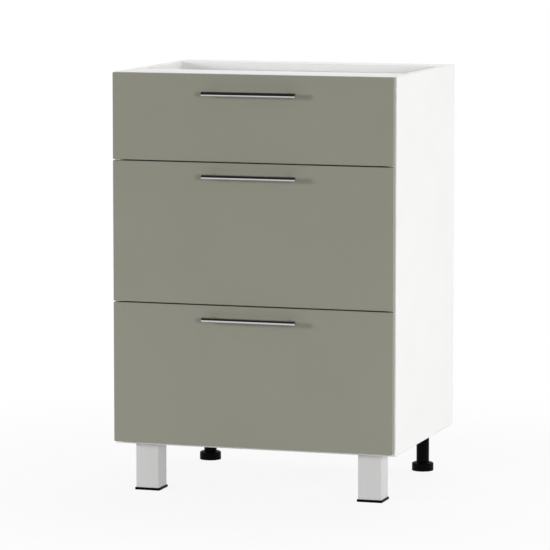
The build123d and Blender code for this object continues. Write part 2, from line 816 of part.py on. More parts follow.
for hand, centre in zip(hands, leg_centres):
    with BuildPart() as tube:
        with BuildSketch(Plane.XY.offset(front_foot_thickness)):
            with Locations(centre):
                RectangleRounded(leg_tube, leg_tube, tube_corner_radius)
                Rectangle(tube_bore, tube_bore, mode=Mode.SUBTRACT)
        extrude(amount=tube_height)
        # Threaded plug in the lower end
        with BuildSketch(Plane.XY.offset(front_foot_thickness)):
            with Locations(centre):
                Rectangle(tube_bore, tube_bore)
        extrude(amount=tube_plug_thickness)
        with BuildSketch(Plane.XY.offset(front_foot_thickness)):
            with Locations(centre):
                Circle(tube_boss_diameter / 2)
        extrude(amount=tube_plug_thickness + tube_boss_height)
        with BuildSketch(Plane.XY.offset(front_foot_thickness)):
            with Locations(centre):
                Circle(spindle_diameter / 2 + running_gap)
        extrude(amount=tube_plug_thickness + tube_boss_height, mode=Mode.SUBTRACT)
        drill(grub_spots, grub_hole, leg_tube_wall + fit_gap)
    tube.part.label = f"front_leg_{hand}"
    export_step(tube.part, f"parts/{tube.part.label}.step")

    with BuildPart() as foot:
        with BuildSketch():
            with Locations(centre):
                RectangleRounded(front_foot_size, front_foot_size, foot_corner_radius)
        extrude(amount=front_foot_thickness)
        chamfer(foot.faces().sort_by(Axis.Z)[-1].edges(), foot_edge_chamfer)
        with BuildSketch(Plane.XY.offset(front_foot_thickness)):
            with Locations(centre):
                Circle(spindle_diameter / 2)
        extrude(amount=spindle_length)
    foot.part.label = f"front_foot_{hand}"
    export_step(foot.part, f"parts/{foot.part.label}.step")

# --- Rear legs: plastic shafts pushed into screwed sockets, each with a screw foot -----------------

socket_wall = 4
socket_corner_radius = 8
rear_spindle_length = 50
foot_cone_height = 1.5
foot_cone_top = 38
foot_rim_radius = 1
foot_notches = 12
foot_notch_size = 3
foot_notch_height = 4

for hand, side in hands.items():
    centre = (side * leg_x, rear_leg_y)
    with BuildPart() as socket:
        plate_length = socket_plate_front + socket_plate_back
        plate_middle_y = rear_leg_y + (socket_plate_back - socket_plate_front) / 2
        with BuildSketch(Plane.XY.offset(leg_height - socket_plate_thickness)):
            with Locations((side * leg_x, plate_middle_y)):
                RectangleRounded(socket_plate_width, plate_length, socket_corner_radius)
        extrude(amount=socket_plate_thickness)
        with BuildSketch(Plane.XY.offset(leg_height - socket_depth)):
            with Locations(centre):
                Circle(shaft_diameter / 2 + socket_wall)
        extrude(amount=socket_depth - socket_plate_thickness / 2)
        with BuildSketch(Plane.XY.offset(leg_height - socket_depth)):
            with Locations(centre):
                Circle(shaft_diameter / 2 + fit_gap)
        extrude(amount=socket_depth - socket_plate_thickness, mode=Mode.SUBTRACT)
        drill(socket_spots, leg_screw_hole, socket_plate_thickness)
    socket.part.label = f"rear_leg_socket_{hand}"
    export_step(socket.part, f"parts/{socket.part.label}.step")

    with BuildPart() as shaft:
        with BuildSketch(Plane.XY.offset(rear_foot_height)):
            with Locations(centre):
                Circle(shaft_diameter / 2)
                Circle(rear_spindle_diameter / 2 + running_gap, mode=Mode.SUBTRACT)
        extrude(amount=leg_height - socket_plate_thickness - rear_foot_height)
    shaft.part.label = f"rear_leg_shaft_{hand}"
    export_step(shaft.part, f"parts/{shaft.part.label}.step")

    with BuildPart() as foot:
        with BuildSketch(Plane.XZ.offset(-rear_leg_y)):
            with BuildLine():
                rim = rear_foot_diameter / 2
                rim_top = rear_foot_height - foot_cone_height
                spindle_top = rear_foot_height + rear_spindle_length
                outline = [
                    (0, 0),
                    (rim, 0),
                    (rim, rim_top),
                    (foot_cone_top / 2, rear_foot_height),
                    (rear_spindle_diameter / 2, rear_foot_height),
                    (rear_spindle_diameter / 2, spindle_top),
                    (0, spindle_top),
                ]
                Polyline(*[(side * leg_x + x, z) for x, z in outline], close=True)
            make_face()
        revolve(axis=Axis((side * leg_x, rear_leg_y, 0), (0, 0, 1)))
        rims = foot.edges().filter_by(GeomType.CIRCLE).group_by(SortBy.RADIUS)[-1]
        fillet(rims, foot_rim_radius)
        # Finger notches around the lower rim
        with BuildSketch():
            with Locations(centre):
                with PolarLocations(rim, foot_notches):
                    Circle(foot_notch_size / 2)
        extrude(amount=foot_notch_height, mode=Mode.SUBTRACT)
    foot.part.label = f"rear_foot_{hand}"
    export_step(foot.part, f"parts/{foot.part.label}.step")

leg_screw = make_screw(leg_screw_size)
grub_screw = make_screw(grub_screw_size)
with BuildPart() as leg_screws:
    with Locations(*leg_screw_spots):
        add(leg_screw)
    with Locations(*grub_spots):
        add(grub_screw)
leg_screws.part.label = "leg_screws"
export_step(leg_screws.part, "parts/leg_screws.step")
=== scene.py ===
import math

import bmesh
import bpy
from mathutils import Matrix, Vector


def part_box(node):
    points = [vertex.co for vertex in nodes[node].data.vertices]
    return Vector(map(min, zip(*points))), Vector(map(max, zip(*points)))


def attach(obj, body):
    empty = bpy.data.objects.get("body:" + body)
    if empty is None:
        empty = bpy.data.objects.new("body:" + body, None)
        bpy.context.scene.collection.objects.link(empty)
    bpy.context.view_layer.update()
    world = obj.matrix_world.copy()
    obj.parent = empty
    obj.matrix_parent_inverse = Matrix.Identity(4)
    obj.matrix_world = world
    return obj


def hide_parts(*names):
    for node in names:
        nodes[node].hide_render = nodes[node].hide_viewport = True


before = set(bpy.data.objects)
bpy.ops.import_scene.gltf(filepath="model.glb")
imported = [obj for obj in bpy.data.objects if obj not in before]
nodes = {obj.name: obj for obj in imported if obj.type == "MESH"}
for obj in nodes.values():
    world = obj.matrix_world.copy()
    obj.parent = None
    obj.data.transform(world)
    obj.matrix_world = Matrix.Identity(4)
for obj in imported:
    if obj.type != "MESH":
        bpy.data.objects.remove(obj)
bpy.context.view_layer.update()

# --- Camera --------------------------------------------------------------------------------------
# It stands to the right of the cabinet and above it, seven and a half metres off behind a long
# lens, so that the fronts, the right side and a sliver of the open top show.
camera_place = (2.2736, -7.2294, 1.3190)
camera_turn = 0.30730  # radians to the left of straight ahead
camera_dip = 0.11590  # radians below level
focal_length_px = 3654.6
frame_width_px = 550
sensor_width = 36  # millimetres

lens = bpy.data.cameras.new("camera")
lens.sensor_width = sensor_width
lens.lens = focal_length_px / frame_width_px * sensor_width
camera = bpy.data.objects.new("camera", lens)
camera.location = camera_place
camera.rotation_euler = (math.pi / 2 - camera_dip, 0, camera_turn)
scene = bpy.context.scene
scene.collection.objects.link(camera)
scene.camera = camera
scene.view_settings.view_transform = "Standard"


# --- Room ----------------------------------------------------------------------------------------
# A pale studio: an even sky, a broad lamp low on the left, two on the right and one above, and a
# floor that fades into a white background. Metal mirrors that background behind the cabinet, and a
# dark room in front of it and overhead.
def add_node(tree, kind, inputs=None, **settings):
    """One node of a material, world or group, with its settings and its inputs' values or links."""
    made = tree.nodes.new(kind)
    for name, value in settings.items():
        setattr(made, name, value)
    for socket, value in (inputs or {}).items():
        if isinstance(value, bpy.types.NodeSocket):
            tree.links.new(value, made.inputs[socket])
        else:
            made.inputs[socket].default_value = value
    return made


def calc(tree, operation, *values):
    """A sum over values and sockets, as the socket that holds its result."""
    return add_node(tree, "ShaderNodeMath", dict(enumerate(values)), operation=operation).outputs[0]


def vector_calc(tree, operation, *values, output="Vector"):
    """The same over vectors. The result is a number where output is Value."""
    inputs = dict(enumerate(values))
    return add_node(tree, "ShaderNodeVectorMath", inputs, operation=operation).outputs[output]


def ramp(tree, value, start, end, low=0.0, high=1.0, **settings):
    """A value that goes from low to high while another goes from start to end, as a socket."""
    inputs = {0: value, 1: start, 2: end, 3: low, 4: high}
    return add_node(tree, "ShaderNodeMapRange", inputs, **settings).outputs[0]


def blend_colour(tree, share, low, high):
    """A colour between two, as a socket. The mix node keeps its colours in 6, 7 and 2."""
    inputs = {0: share, 6: low, 7: high}
    return add_node(tree, "ShaderNodeMix", inputs, data_type="RGBA").outputs[2]


def grey(level):
    """A neutral colour."""
    return (level, level, level, 1)


sky_level = 0.37
room_level = 0.03  # what metal sees in front of the cabinet, and high overhead
backdrop_edge = (-0.10, 0.20)  # share of a direction towards the wall where the backdrop begins
backdrop_top = (0.55, 0.80)  # upward share of a direction where it ends

world = bpy.data.worlds.new("studio")
scene.world = world
world.use_nodes = True
tree = world.node_tree
direction = add_node(tree, "ShaderNodeTexCoord").outputs["Generated"]
towards = add_node(tree, "ShaderNodeSeparateXYZ", {0: direction}).outputs
behind = ramp(tree, towards["Y"], *backdrop_edge)
below = ramp(tree, towards["Z"], *backdrop_top, low=1, high=0)
path = add_node(tree, "ShaderNodeLightPath").outputs
mirrored = blend_colour(tree, calc(tree, "MULTIPLY", behind, below), grey(room_level), grey(1))
gloss = calc(tree, "MAXIMUM", path["Is Glossy Ray"], path["Is Transmission Ray"])
lit = blend_colour(tree, gloss, grey(sky_level), mirrored)
shown = blend_colour(tree, path["Is Camera Ray"], lit, grey(1))
tree.links.new(shown, tree.nodes["Background"].inputs["Color"])

lamps = {
    # name: place, size across in metres, watts
    "lamp_left": ((-4.6, -3.9, 1.5), 1.4, 166),
    "lamp_right": ((3.9, -4.9, 1.4), 1.6, 142),
    "lamp_side": ((5.5, 0.7, 1.6), 1.8, 114),
    "lamp_above": ((0.0, 1.6, 5.0), 2.6, 105),
}
aim = Vector((0, 0, 0.45))  # the middle of the cabinet
for name, (place, across, watts) in lamps.items():
    light = bpy.data.lights.new(name, "AREA")
    light.shape = "DISK"
    light.size = across
    light.energy = watts
    lamp = bpy.data.objects.new(name, light)
    lamp.location = place
    lamp.rotation_euler = (Vector(place) - aim).to_track_quat("Z", "Y").to_euler()
    lamp.visible_glossy = False
    scene.collection.objects.link(lamp)

floor_radius = 1.8
floor_sides = 96
floor_fade = (0.4, 1.5)  # distances from the cabinet between which the floor turns to background
floor_lift = 0.90  # share of plain white in the floor at the cabinet
floor_tone = 0.62

bm = bmesh.new()
bmesh.ops.create_circle(bm, cap_ends=True, radius=floor_radius, segments=floor_sides)
mesh = bpy.data.meshes.new("floor")
bm.to_mesh(mesh)
bm.free()
floor = bpy.data.objects.new("floor", mesh)
scene.collection.objects.link(floor)
floor_finish = bpy.data.materials.new("floor")
floor_finish.use_nodes = True
tree = floor_finish.node_tree
point = add_node(tree, "ShaderNodeTexCoord").outputs["Object"]
distance = vector_calc(tree, "LENGTH", point, output="Value")
away = ramp(tree, distance, *floor_fade, low=floor_lift, interpolation_type="SMOOTHSTEP")
path = add_node(tree, "ShaderNodeLightPath").outputs
mirrored = calc(tree, "MAXIMUM", path["Is Glossy Ray"], path["Is Transmission Ray"])
seen = calc(tree, "MAXIMUM", path["Is Camera Ray"], mirrored)
matt = add_node(tree, "ShaderNodeBsdfDiffuse", {"Color": grey(floor_tone)}).outputs[0]
glow = add_node(tree, "ShaderNodeEmission", {"Color": grey(1)}).outputs[0]
share = calc(tree, "MULTIPLY", away, seen)
mixed = add_node(tree, "ShaderNodeMixShader", {0: share, 1: matt, 2: glow}).outputs[0]
tree.links.new(mixed, tree.nodes["Material Output"].inputs["Surface"])
tree.nodes.remove(tree.nodes["Principled BSDF"])
mesh.materials.append(floor_finish)


# --- Carcass boards ------------------------------------------------------------------------------
# Two sides, a bottom and two top rails of 16 mm chipboard, faced with white melamine and edged with
# thin white strip. The back edges of all but the front rail are left bare, and so is the chip
# inside every drilled hole.
def new_group(name, inputs, outputs):
    """An empty shader node group with named sockets, and its input and output nodes."""
    made = bpy.data.node_groups.new(name, "ShaderNodeTree")
    for socket, (kind, value) in inputs.items():
        made.interface.new_socket(socket, in_out="INPUT", socket_type=kind).default_value = value
    for socket, kind in outputs.items():
        made.interface.new_socket(socket, in_out="OUTPUT", socket_type=kind)
    return made, made.nodes.new("NodeGroupInput").outputs, made.nodes.new("NodeGroupOutput").inputs


def scaled(tree, vector, factor):
    """A vector or a colour times a value, as a socket."""
    inputs = {0: vector, "Scale": factor}
    return add_node(tree, "ShaderNodeVectorMath", inputs, operation="SCALE").outputs[0]


def noise(tree, point, detail, scale=1.0):
    """A soft noise, as a socket."""
    inputs = {"Vector": point, "Scale": scale, "Detail": detail}
    return add_node(tree, "ShaderNodeTexNoise", inputs).outputs[0]


# What a socket carries
number, arrow, colour = "NodeSocketFloat", "NodeSocketVector", "NodeSocketColor"

# Fine variation: a noise with grains of a real size, between two values
noise_range = (0.3, 0.7)  # where most of a noise's values lie
grain_detail = 3.0
fine_variation, given, result = new_group(
    "fine_variation",
    {
        "Point": (arrow, (0, 0, 0)),
        "Grain": (number, 0.001),
        "Stretch": (arrow, (1, 1, 1)),
        "Low": (number, 0.0),
        "High": (number, 1.0),
    },
    {"Value": number},
)
stretched = vector_calc(fine_variation, "MULTIPLY", given["Point"], given["Stretch"])
sized = scaled(fine_variation, stretched, calc(fine_variation, "DIVIDE", 1.0, given["Grain"]))
grains = noise(fine_variation, sized, grain_detail)
ranged = ramp(fine_variation, grains, *noise_range, given["Low"], given["High"])
fine_variation.links.new(ranged, result["Value"])

# Handling marks: a few long fine scratches along the surface, where a broad noise lets them show
facing_share = 0.7  # share of a surface's direction from which it counts as facing that way
scratch_slant = 0.7  # radians
scratch_stretch = (1, 30, 1)
scratch_detail = 1.0
scratch_edge = (0.66, 0.72)  # noise levels between which a scratch fades in
patch_scale = 0.3  # of the scratches' own
patch_detail = 2.0
patch_edge = (0.5, 0.62)
handling_marks, given, result = new_group(
    "handling_marks",
    {"Point": (arrow, (0, 0, 0)), "Length": (number, 0.04), "Amount": (number, 0.5)},
    {"Mask": number},
)
at = add_node(handling_marks, "ShaderNodeSeparateXYZ", {0: given["Point"]}).outputs
normal = add_node(handling_marks, "ShaderNodeNewGeometry").outputs["True Normal"]
facing = vector_calc(handling_marks, "ABSOLUTE", normal)
facing = add_node(handling_marks, "ShaderNodeSeparateXYZ", {0: facing}).outputs
sideways = calc(handling_marks, "GREATER_THAN", facing["X"], facing_share)
upwards = calc(handling_marks, "GREATER_THAN", facing["Z"], facing_share)
x_to_y = calc(handling_marks, "SUBTRACT", at["Y"], at["X"])
z_to_y = calc(handling_marks, "SUBTRACT", at["Y"], at["Z"])
across = calc(handling_marks, "MULTIPLY_ADD", x_to_y, sideways, at["X"])
along = calc(handling_marks, "MULTIPLY_ADD", z_to_y, upwards, at["Z"])
flat_point = add_node(handling_marks, "ShaderNodeCombineXYZ", {0: across, 1: along}).outputs[0]
turned_point = add_node(
    handling_marks, "ShaderNodeVectorRotate", {"Vector": flat_point, "Angle": scratch_slant}
).outputs[0]
long_point = vector_calc(handling_marks, "MULTIPLY", turned_point, scratch_stretch)
size = calc(handling_marks, "DIVIDE", 1.0, given["Length"])
lines = noise(handling_marks, scaled(handling_marks, long_point, size), scratch_detail)
broad_scale = calc(handling_marks, "MULTIPLY", size, patch_scale)
broad = noise(handling_marks, given["Point"], patch_detail, broad_scale)
line = ramp(handling_marks, lines, *scratch_edge)
patch = ramp(handling_marks, broad, *patch_edge)
marks = calc(handling_marks, "MULTIPLY", line, patch)
handling_marks.links.new(calc(handling_marks, "MULTIPLY", marks, given["Amount"]), result["Mask"])

# Board section: where a faced board shows its bare middle, and the seams of its edging
facing_skin = 0.0003  # thickness of the melamine
seam_start = 0.00050  # distances in from a board's edge between which the seam lies
seam_end = 0.00068
on_face = 0.0001  # depth within which a point counts as lying on a face
board_section, given, result = new_group(
    "board_section",
    {
        "Point": (arrow, (0, 0, 0)),
        "Middle": (arrow, (0, 0, 0)),
        "Half size": (arrow, (1, 1, 1)),
        "Bare edge": (arrow, (0, 0, 0)),
    },
    {"Core": number, "Seam": number},
)
offset = vector_calc(board_section, "SUBTRACT", given["Point"], given["Middle"])
spread = vector_calc(board_section, "ABSOLUTE", offset)
depths = vector_calc(board_section, "SUBTRACT", given["Half size"], spread)
x, y, z = add_node(board_section, "ShaderNodeSeparateXYZ", {0: depths}).outputs
least = calc(board_section, "MINIMUM", calc(board_section, "MINIMUM", x, y), z)
most = calc(board_section, "MAXIMUM", calc(board_section, "MAXIMUM", x, y), z)
total = calc(board_section, "ADD", calc(board_section, "ADD", x, y), z)
middle = calc(board_section, "SUBTRACT", calc(board_section, "SUBTRACT", total, most), least)
drilled = calc(board_section, "GREATER_THAN", least, facing_skin)
bare_side = vector_calc(board_section, "ABSOLUTE", given["Bare edge"])
along = vector_calc(board_section, "DOT_PRODUCT", offset, given["Bare edge"], output="Value")
reach = vector_calc(board_section, "DOT_PRODUCT", given["Half size"], bare_side, output="Value")
has_bare = vector_calc(board_section, "LENGTH", bare_side, output="Value")
bare_from = calc(board_section, "SUBTRACT", reach, on_face)
at_bare = calc(board_section, "GREATER_THAN", along, bare_from)
inside_skin = calc(board_section, "GREATER_THAN", middle, facing_skin)
bare_face = calc(board_section, "MULTIPLY", at_bare, has_bare)
bare = calc(board_section, "MULTIPLY", bare_face, inside_skin)
core = calc(board_section, "MAXIMUM", drilled, bare)
board_section.links.new(core, result["Core"])
past_start = calc(board_section, "GREATER_THAN", middle, seam_start)
before_end = calc(board_section, "LESS_THAN", middle, seam_end)
on_surface = calc(board_section, "LESS_THAN", least, on_face)
in_seam = calc(board_section, "MULTIPLY", past_start, before_end)
seam = calc(board_section, "MULTIPLY", in_seam, on_surface)
covered = calc(board_section, "SUBTRACT", 1.0, core)
board_section.links.new(calc(board_section, "MULTIPLY", seam, covered), result["Seam"])

# Wood chips: flakes pressed together, each its own brown, with dark gaps between them
chip_tones = ((0.30, 0.17, 0.08, 1), (0.50, 0.32, 0.17, 1), (0.62, 0.44, 0.26, 1))
chip_gap_tone = (0.10, 0.06, 0.03, 1)
chip_gap_edge = (0.45, 0.7)  # distances from a chip's middle, in chips, where its gap darkens
middle_tone_at = 0.5
wood_chips, given, result = new_group(
    "wood_chips",
    {"Point": (arrow, (0, 0, 0)), "Chip": (number, 0.002)},
    {"Color": colour, "Height": number},
)
sized = scaled(wood_chips, given["Point"], calc(wood_chips, "DIVIDE", 1.0, given["Chip"]))
chips = add_node(wood_chips, "ShaderNodeTexVoronoi", {"Vector": sized, "Scale": 1.0}).outputs
tones = add_node(wood_chips, "ShaderNodeValToRGB", {0: chips["Color"]})
tones.color_ramp.elements[0].color = chip_tones[0]
tones.color_ramp.elements[1].color = chip_tones[2]
tones.color_ramp.elements.new(middle_tone_at).color = chip_tones[1]
gap = ramp(wood_chips, chips["Distance"], *chip_gap_edge)
chip_colour = blend_colour(wood_chips, gap, tones.outputs[0], chip_gap_tone)
wood_chips.links.new(chip_colour, result["Color"])
wood_chips.links.new(calc(wood_chips, "SUBTRACT", 1.0, gap), result["Height"])


def new_finish(name):
    """A material, its node tree, its shader and the surface point in metres."""
    made = bpy.data.materials.new(name)
    made.use_nodes = True
    tree = made.node_tree
    point = add_node(tree, "ShaderNodeTexCoord").outputs["Object"]
    return made, tree, tree.nodes["Principled BSDF"], point


def vary(tree, point, grain, low=0.0, high=1.0, stretch=(1, 1, 1)):
    """A value that changes over the surface in grains of a size in metres."""
    inputs = {"Point": point, "Grain": grain, "Stretch": stretch, "Low": low, "High": high}
    return add_node(tree, "ShaderNodeGroup", inputs, node_tree=fine_variation).outputs["Value"]


def mark(tree, point, length, amount):
    """A mask of handling marks of a length in metres."""
    inputs = {"Point": point, "Length": length, "Amount": amount}
    return add_node(tree, "ShaderNodeGroup", inputs, node_tree=handling_marks).outputs["Mask"]


def relief(tree, shader, height, depth):
    """A surface that rises and falls with height, by depth in metres."""
    bump = add_node(tree, "ShaderNodeBump", {"Height": height, "Strength": 1.0, "Distance": depth})
    tree.links.new(bump.outputs[0], shader.inputs["Normal"])


def feed(tree, shader, **sockets):
    """Links to the shader's sockets, with underscores for the spaces in their names."""
    for name, value in sockets.items():
        tree.links.new(value, shader.inputs[name.replace("_", " ")])


def dress(finish, *names):
    """Gives CAD pieces their finish."""
    for name in names:
        for slot in nodes[name].material_slots:
            slot.material = finish


melamine_tone = (0.86, 0.86, 0.852)
melamine_mark_tone = 0.62
seam_tone = (0.45, 0.43, 0.40, 1)
seam_strength = 0.35
chip_size = 0.0022
chip_roughness = 0.9


def melamine_board(name, bare_edge=(0, 0, 0)):
    """White melamine over chipboard, for one board."""
    low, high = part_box(name)
    finish, tree, shader, point = new_finish("melamine_" + name)
    section = add_node(
        tree, "ShaderNodeGroup",
        {
            "Point": point,
            "Middle": (low + high) / 2,
            "Half size": (high - low) / 2,
            "Bare edge": bare_edge,
        },
        node_tree=board_section,
    ).outputs
    chips = add_node(
        tree, "ShaderNodeGroup", {"Point": point, "Chip": chip_size}, node_tree=wood_chips
    ).outputs
    pearl = vary(tree, point, grain=0.0005, low=0.985, high=1.012)
    cloud = vary(tree, point, grain=0.12, low=0.985, high=1.01)
    face = scaled(tree, melamine_tone, calc(tree, "MULTIPLY", pearl, cloud))
    seams = calc(tree, "MULTIPLY", section["Seam"], seam_strength)
    seamed = blend_colour(tree, seams, face, seam_tone)
    marks = mark(tree, point, length=0.05, amount=0.10)
    marked = blend_colour(tree, marks, seamed, grey(melamine_mark_tone))
    feed(tree, shader, Base_Color=blend_colour(tree, section["Core"], marked, chips["Color"]))
    sheen = calc(tree, "ADD", vary(tree, point, grain=0.0012, low=0.34, high=0.44), marks)
    dull = calc(tree, "MULTIPLY", section["Core"], chip_roughness)
    feed(tree, shader, Roughness=calc(tree, "MAXIMUM", sheen, dull))
    pressed = vary(tree, point, grain=0.0008, high=0.12)
    rough = calc(tree, "MULTIPLY", section["Core"], chips["Height"])
    height = calc(tree, "SUBTRACT", calc(tree, "ADD", pressed, rough), section["Seam"])
    relief(tree, shader, height, depth=0.00012)
    return finish


back_edge = (0, 1, 0)
for name in ("side_panel_left", "side_panel_right", "bottom_panel", "top_rail_back"):
    dress(melamine_board(name, back_edge), name)
dress(melamine_board("top_rail_front"), "top_rail_front")

# --- Back panel ----------------------------------------------------------------------------------
# A 3 mm hardboard sheet, lacquered white inside and left brown outside, nailed flush to the back
# edges of the carcass with sixteen plated nails.
lacquer_tone = (0.84, 0.84, 0.825)
fibre_tones = ((0.20, 0.115, 0.058, 1), (0.31, 0.19, 0.10, 1))
fibre_share = 0.6  # of the fibres in the brown, against broad clouds
rubbed_tone = (0.40, 0.27, 0.16, 1)
hardboard_low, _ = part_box("back_panel")
finish, tree, shader, point = new_finish("hardboard")
depth_into = add_node(tree, "ShaderNodeSeparateXYZ", {0: point}).outputs["Y"]
inner_face = calc(tree, "LESS_THAN", depth_into, hardboard_low.y + on_face)
fibre = vary(tree, point, grain=0.0009, stretch=(0.25, 1, 1))
cloud = vary(tree, point, grain=0.06)
fibres = calc(tree, "MULTIPLY", fibre, fibre_share)
clouds = calc(tree, "MULTIPLY", cloud, 1 - fibre_share)
brown = blend_colour(tree, calc(tree, "ADD", fibres, clouds), *fibre_tones)
brown = blend_colour(tree, mark(tree, point, length=0.06, amount=0.5), brown, rubbed_tone)
lacquer = scaled(tree, lacquer_tone, vary(tree, point, grain=0.0015, low=0.98, high=1.01))
feed(tree, shader, Base_Color=blend_colour(tree, inner_face, brown, lacquer))
satin = calc(tree, "MULTIPLY", inner_face, vary(tree, point, grain=0.002, low=0.36, high=0.44))
outer_face = calc(tree, "SUBTRACT", 1.0, inner_face)
dull = calc(tree, "MULTIPLY", outer_face, vary(tree, point, grain=0.003, low=0.58, high=0.74))
feed(tree, shader, Roughness=calc(tree, "ADD", satin, dull))
relief(tree, shader, fibre, depth=0.00005)
dress(finish, "back_panel")

# Plated steel: a bright grey that turns faintly yellow in clouds, with tiny scratches
zinc_tones = ((0.62, 0.62, 0.61, 1), (0.66, 0.62, 0.50, 1))
zinc_scratch_tone = 0.78
plated, tree, shader, point = new_finish("zinc_plated")
shader.inputs["Metallic"].default_value = 1
hue = blend_colour(tree, vary(tree, point, grain=0.004), *zinc_tones)
worn = mark(tree, point, length=0.006, amount=0.8)
feed(tree, shader, Base_Color=blend_colour(tree, worn, hue, grey(zinc_scratch_tone)))
satin = vary(tree, point, grain=0.0006, low=0.24, high=0.36)
feed(tree, shader, Roughness=calc(tree, "ADD", satin, worn))
relief(tree, shader, vary(tree, point, grain=0.0003), depth=0.00001)
dress(plated, "back_panel_nails")

# --- Cam locks, their bolts and the dowels -------------------------------------------------------
# Die-cast cams turned by a cross slot, each pulling a plated bolt that stands in the side panel,
# and fluted beech dowels beside them, glued half into each board.
cast_tones = (0.42, 0.56)
die_cast, tree, shader, point = new_finish("die_cast_zinc")
shader.inputs["Metallic"].default_value = 1
grainy = vary(tree, point, grain=0.0005)
feed(tree, shader, Base_Color=blend_colour(tree, grainy, *map(grey, cast_tones)))
feed(tree, shader, Roughness=vary(tree, point, grain=0.0012, low=0.42, high=0.60))
relief(tree, shader, grainy, depth=0.00003)
dress(die_cast, "cam_locks")
dress(plated, "cam_bolts")

beech_tones = ((0.50, 0.31, 0.17, 1), (0.66, 0.46, 0.29, 1))
fleck_depth = 0.08
flute_pitch = 0.0009
wave_scale = 1 / flute_pitch / math.tau
finish, tree, shader, point = new_finish("beech")
grain = vary(tree, point, grain=0.0007, stretch=(0.08, 1, 1))
flecks = vary(tree, point, grain=0.0012, stretch=(0.3, 1, 1))
fleck_level = calc(tree, "ADD", 1 - fleck_depth, calc(tree, "MULTIPLY", flecks, fleck_depth))
wood = blend_colour(tree, grain, *beech_tones)
feed(tree, shader, Base_Color=scaled(tree, wood, fleck_level))
feed(tree, shader, Roughness=vary(tree, point, grain=0.001, low=0.55, high=0.7))
flutes = add_node(
    tree, "ShaderNodeTexWave",
    {"Vector": point, "Scale": wave_scale, "Distortion": 0.0},
    bands_direction="Z",
).outputs["Fac"]
relief(tree, shader, flutes, depth=0.00012)
dress(finish, "dowels")

# --- Runner rails --------------------------------------------------------------------------------
# Folded steel channels with a white baked epoxy coat and the shallow dimples of its orange peel,
# screwed to the cabinet's sides. Each has a roller on a pin near its front end and a stop bent up
# in its channel.
tiers = ("top", "middle", "bottom")
hands = ("left", "right")
epoxy_tone = (0.80, 0.80, 0.79)
epoxy_mark_tone = 0.60
epoxy, tree, shader, point = new_finish("white_epoxy")
marks = mark(tree, point, length=0.03, amount=0.12)
coat = scaled(tree, epoxy_tone, vary(tree, point, grain=0.02, low=0.985, high=1.01))
feed(tree, shader, Base_Color=blend_colour(tree, marks, coat, grey(epoxy_mark_tone)))
satin = vary(tree, point, grain=0.003, low=0.24, high=0.32)
feed(tree, shader, Roughness=calc(tree, "ADD", satin, marks))
relief(tree, shader, vary(tree, point, grain=0.0035), depth=0.000008)
dress(epoxy, *[f"runner_rail_{hand}_{tier}" for hand in hands for tier in tiers])
dress(plated, "runner_screws", "roller_pins")

# --- Rollers -------------------------------------------------------------------------------------
# Off-white nylon wheels, moulded with a cloudy colour and a dull tread, each free on its steel pin.
# The front ones stay with the cabinet and the rear ones travel with their drawer.
nylon_tones = ((0.72, 0.70, 0.63, 1), (0.78, 0.76, 0.70, 1))
nylon_glow = 0.12
nylon_glow_radius = (0.002, 0.002, 0.0015)
nylon, tree, shader, point = new_finish("nylon")
clouded = vary(tree, point, grain=0.004)
feed(tree, shader, Base_Color=blend_colour(tree, clouded, *nylon_tones))
feed(tree, shader, Roughness=vary(tree, point, grain=0.0012, low=0.40, high=0.56))
shader.inputs["Subsurface Weight"].default_value = nylon_glow
shader.inputs["Subsurface Radius"].default_value = nylon_glow_radius
relief(tree, shader, vary(tree, point, grain=0.0004), depth=0.00002)
for tier in tiers:
    dress(nylon, f"front_rollers_{tier}", f"rear_rollers_{tier}")

# --- Drawer boxes --------------------------------------------------------------------------------
# Folded steel sides with the same white epoxy as the rails, screwed under a white board bottom, to
# the ends of a white board back and to the back of the front.
for tier in tiers:
    dress(epoxy, *[f"drawer_side_{hand}_{tier}" for hand in hands])
    dress(melamine_board(f"drawer_bottom_{tier}", back_edge), f"drawer_bottom_{tier}")
    dress(melamine_board(f"drawer_back_{tier}"), f"drawer_back_{tier}")
    dress(plated, f"drawer_fasteners_{tier}")

# --- Drawer fronts -------------------------------------------------------------------------------
# Fibreboard 16 mm thick, with a smooth grey-beige film drawn over the face and the rounded edges,
# white melamine on the back, and two drilled holes behind the handle's posts.
film_tone = (0.262, 0.258, 0.209)
fibreboard_tone = (0.45, 0.32, 0.20)


def film_front(name):
    """The film-wrapped fibreboard of one front."""
    low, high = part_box(name)
    finish, tree, shader, point = new_finish("film_" + name)
    section = add_node(
        tree, "ShaderNodeGroup",
        {"Point": point, "Middle": (low + high) / 2, "Half size": (high - low) / 2},
        node_tree=board_section,
    ).outputs
    depth_into = add_node(tree, "ShaderNodeSeparateXYZ", {0: point}).outputs["Y"]
    rear = calc(tree, "GREATER_THAN", depth_into, high.y - on_face)
    cloud = vary(tree, point, grain=0.15, low=0.985, high=1.015)
    speck = vary(tree, point, grain=0.0006, low=0.985, high=1.015)
    film = scaled(tree, film_tone, calc(tree, "MULTIPLY", cloud, speck))
    pearl = vary(tree, point, grain=0.0006, low=0.985, high=1.01)
    faced = blend_colour(tree, rear, film, scaled(tree, melamine_tone, pearl))
    raw = scaled(tree, fibreboard_tone, vary(tree, point, grain=0.0005, low=0.85, high=1.1))
    feed(tree, shader, Base_Color=blend_colour(tree, section["Core"], faced, raw))
    satin = vary(tree, point, grain=0.0015, low=0.42, high=0.50)
    marks = mark(tree, point, length=0.04, amount=0.08)
    feed(tree, shader, Roughness=calc(tree, "ADD", satin, marks))
    relief(tree, shader, vary(tree, point, grain=0.0009), depth=0.00001)
    return finish


for tier in tiers:
    dress(film_front(f"drawer_front_{tier}"), f"drawer_front_{tier}")


